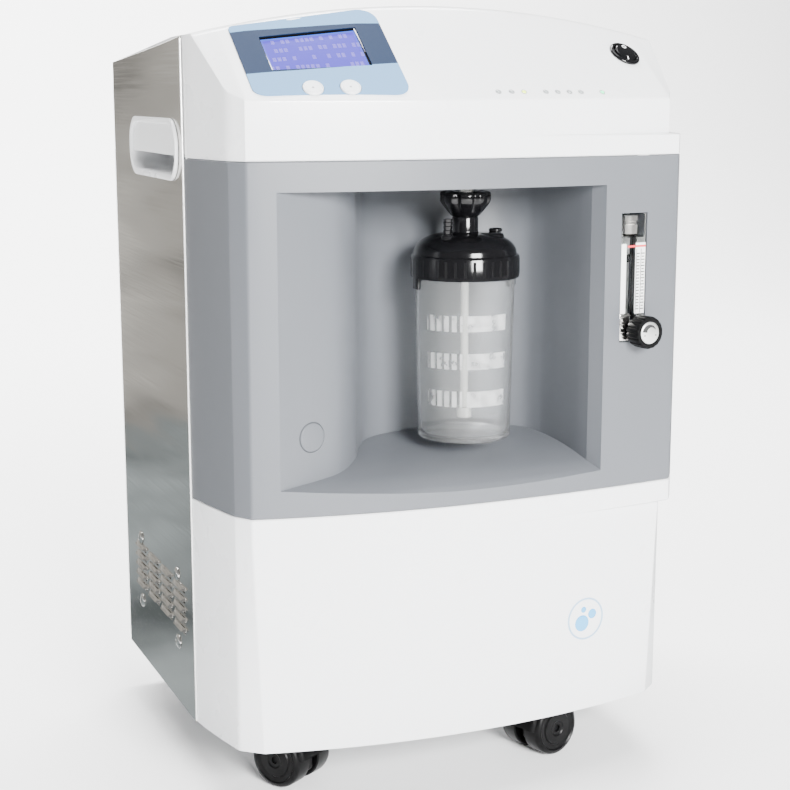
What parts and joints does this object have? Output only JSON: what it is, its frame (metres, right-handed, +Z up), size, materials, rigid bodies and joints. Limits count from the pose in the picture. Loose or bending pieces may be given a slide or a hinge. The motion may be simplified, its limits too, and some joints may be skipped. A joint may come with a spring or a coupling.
{
  "type": "oxygen concentrator",
  "caption": "Floor-standing oxygen concentrator: steel-sided cabinet with a control panel, an alcove with a bubble humidifier, a flowmeter with a knob, and swivel casters.",
  "frame": {"origin": "middle of the bounding box's footprint on the floor", "axes": "+X to the machine's left-to-right as its front is faced, +Y from the front to the back, +Z up"},
  "size_m": [0.3812, 0.365, 0.586],
  "materials": {
    "white_cover": "gloss",
    "grey_cover": "satin",
    "mirror_steel": "mirror polished",
    "zinc_steel": "satin",
    "plated_metal": "polished",
    "keypad_film": "satin film",
    "lcd_glass": "gloss",
    "button_white": "satin",
    "black_gloss": "gloss",
    "led_lens": "gloss",
    "clear_jar": "clear",
    "silicone": "matte",
    "tube_plastic": "satin",
    "clear_acrylic": "clear",
    "black_matte": "matte",
    "caster_tread": "satin",
    "knob_disc": "satin",
    "foam": "open foam",
    "cast_alloy": "cast",
    "shaft_steel": "ground",
    "box_grey": "matte",
    "brass_block": "machined",
    "copper": "drawn",
    "board_green": "solder mask"
  },
  "bodies": {
    "root": {"base_plate": "zinc_steel", "side_panel_left": "mirror_steel", "side_panel_right": "mirror_steel", "rear_cover": "white_cover", "top_cover": "white_cover", "front_cover_middle": "grey_cover", "front_cover_lower": "white_cover", "handle_cup_left": "white_cover", "handle_cup_right": "white_cover", "edge_trims": "mirror_steel", "keypad_overlay": "keypad_film", "lcd_module": "lcd_glass", "switch_bezel": "black_gloss", "indicator_leds": "led_lens", "outlet_plate": "black_gloss", "oxygen_outlet": "plated_metal", "flowmeter_body": "clear_acrylic", "flowmeter_fittings": "plated_metal", "port_plug": "grey_cover", "filter_foam": "foam", "power_inlet": "black_matte", "compressor_body": "cast_alloy", "compressor_springs": "zinc_steel", "sound_box": "box_grey", "fan_frame": "black_matte", "sieve_beds": "cast_alloy", "product_tank": "cast_alloy", "valve_block": "brass_block", "cooling_coil": "copper", "control_board": "board_green", "intake_silencer": "black_matte", "hoses": "silicone", "panel_screws": "plated_metal"},
    "caster_front_left": {"caster_front_left": "black_matte"},
    "wheel_front_left_a": {"wheel_front_left_a": "caster_tread"},
    "wheel_front_left_b": {"wheel_front_left_b": "caster_tread"},
    "caster_front_right": {"caster_front_right": "black_matte"},
    "wheel_front_right_a": {"wheel_front_right_a": "caster_tread"},
    "wheel_front_right_b": {"wheel_front_right_b": "caster_tread"},
    "caster_rear_left": {"caster_rear_left": "black_matte"},
    "wheel_rear_left_a": {"wheel_rear_left_a": "caster_tread"},
    "wheel_rear_left_b": {"wheel_rear_left_b": "caster_tread"},
    "caster_rear_right": {"caster_rear_right": "black_matte"},
    "wheel_rear_right_a": {"wheel_rear_right_a": "caster_tread"},
    "wheel_rear_right_b": {"wheel_rear_right_b": "caster_tread"},
    "button_left": {"button_left": "button_white"},
    "button_right": {"button_right": "button_white"},
    "power_rocker": {"power_rocker": "black_gloss"},
    "flow_knob": {"flow_knob": "black_matte", "knob_cap": "knob_disc"},
    "float": {"flowmeter_float": "black_gloss"},
    "humidifier": {"humidifier_lid": "black_gloss", "relief_valve": "black_gloss", "jar_gasket": "silicone", "dip_tube": "tube_plastic"},
    "nut": {"humidifier_nut": "black_gloss"},
    "jar": {"humidifier_jar": "clear_jar"},
    "filter_door": {"filter_door": "white_cover"},
    "fan_rotor": {"fan_rotor": "black_matte"},
    "compressor_shaft": {"compressor_shaft": "shaft_steel"}
  },
  "joints": [
    {"name": "caster_swivel_front_left", "type": "hinge", "parent": "root", "child": "caster_front_left", "pos_m": [-0.106, -0.098, 0.07], "axis": [0, 0, 1], "continuous": true},
    {"name": "wheel_spin_front_left_a", "type": "hinge", "parent": "caster_front_left", "child": "wheel_front_left_a", "pos_m": [-0.11526, -0.08374, 0.02225], "axis": [-0.8387, -0.5446, 0], "continuous": true},
    {"name": "wheel_spin_front_left_b", "type": "hinge", "parent": "caster_front_left", "child": "wheel_front_left_b", "pos_m": [-0.11526, -0.08374, 0.02225], "axis": [-0.8387, -0.5446, 0], "continuous": true},
    {"name": "caster_swivel_front_right", "type": "hinge", "parent": "root", "child": "caster_front_right", "pos_m": [0.106, -0.098, 0.07], "axis": [0, 0, 1], "continuous": true},
    {"name": "wheel_spin_front_right_a", "type": "hinge", "parent": "caster_front_right", "child": "wheel_front_right_a", "pos_m": [0.08974, -0.10297, 0.02225], "axis": [0.2924, -0.9563, 0], "continuous": true},
    {"name": "wheel_spin_front_right_b", "type": "hinge", "parent": "caster_front_right", "child": "wheel_front_right_b", "pos_m": [0.08974, -0.10297, 0.02225], "axis": [0.2924, -0.9563, 0], "continuous": true},
    {"name": "caster_swivel_rear_left", "type": "hinge", "parent": "root", "child": "caster_rear_left", "pos_m": [-0.13, 0.1, 0.07], "axis": [0, 0, 1], "continuous": true},
    {"name": "wheel_spin_rear_left_a", "type": "hinge", "parent": "caster_rear_left", "child": "wheel_rear_left_a", "pos_m": [-0.12419, 0.11597, 0.02225], "axis": [-0.9397, 0.342, 0], "continuous": true},
    {"name": "wheel_spin_rear_left_b", "type": "hinge", "parent": "caster_rear_left", "child": "wheel_rear_left_b", "pos_m": [-0.12419, 0.11597, 0.02225], "axis": [-0.9397, 0.342, 0], "continuous": true},
    {"name": "caster_swivel_rear_right", "type": "hinge", "parent": "root", "child": "caster_rear_right", "pos_m": [0.13, 0.1, 0.07], "axis": [0, 0, 1], "continuous": true},
    {"name": "wheel_spin_rear_right_a", "type": "hinge", "parent": "caster_rear_right", "child": "wheel_rear_right_a", "pos_m": [0.12419, 0.08403, 0.02225], "axis": [0.9397, -0.342, 0], "continuous": true},
    {"name": "wheel_spin_rear_right_b", "type": "hinge", "parent": "caster_rear_right", "child": "wheel_rear_right_b", "pos_m": [0.12419, 0.08403, 0.02225], "axis": [0.9397, -0.342, 0], "continuous": true},
    {"name": "button_left_press", "type": "slide", "parent": "root", "child": "button_left", "axis": [0.1078, 0.6217, -0.7758], "range_m": [0, 0.0008], "stiffness_N_per_m": 900, "springref_m": -0.0004},
    {"name": "button_right_press", "type": "slide", "parent": "root", "child": "button_right", "axis": [0.0842, 0.6253, -0.7758], "range_m": [0, 0.0008], "stiffness_N_per_m": 900, "springref_m": -0.0004},
    {"name": "power_rocker_tilt", "type": "hinge", "parent": "root", "child": "power_rocker", "pos_m": [0.147, -0.11602, 0.55131], "axis": [-0.9887, -0.0492, 0.1419], "range_deg": [0, 16]},
    {"name": "flow_knob_turn", "type": "hinge", "parent": "root", "child": "flow_knob", "pos_m": [0.13418, -0.16456, 0.348], "axis": [0.1132, -0.9936, 0], "range_deg": [-1285.7, 154.3]},
    {"name": "float_rise", "type": "slide", "parent": "root", "child": "float", "axis": [0, 0, 1], "range_m": [-0.0376, 0.0046]},
    {"name": "humidifier_drop", "type": "slide", "parent": "root", "child": "humidifier", "axis": [0, 0, -1], "range_m": [0, 0.0045]},
    {"name": "nut_turn", "type": "hinge", "parent": "humidifier", "child": "nut", "pos_m": [0.015, -0.116, 0.443], "axis": [0, 0, -1], "range_deg": [0, 1160]},
    {"name": "jar_unscrew", "type": "hinge", "parent": "humidifier", "child": "jar", "pos_m": [0.015, -0.116, 0.395], "axis": [0, 0, -1], "range_deg": [0, 360]},
    {"name": "filter_door_pull", "type": "slide", "parent": "root", "child": "filter_door", "axis": [0, 1, 0], "range_m": [0, 0.03]},
    {"name": "fan_spin", "type": "hinge", "parent": "root", "child": "fan_rotor", "pos_m": [-0.072, -0.034, 0.22], "axis": [0, 0, 1], "continuous": true},
    {"name": "compressor_spin", "type": "hinge", "parent": "root", "child": "compressor_shaft", "pos_m": [0, -0.036, 0.132], "axis": [1, 0, 0], "continuous": true}
  ],
  "couplings": [
    {"joint": "float_rise", "follows": "flow_knob_turn", "m_per_rad": 0.0016711},
    {"joint": "nut_turn", "follows": "humidifier_drop", "rad_per_m": 4452.6}
  ]
}
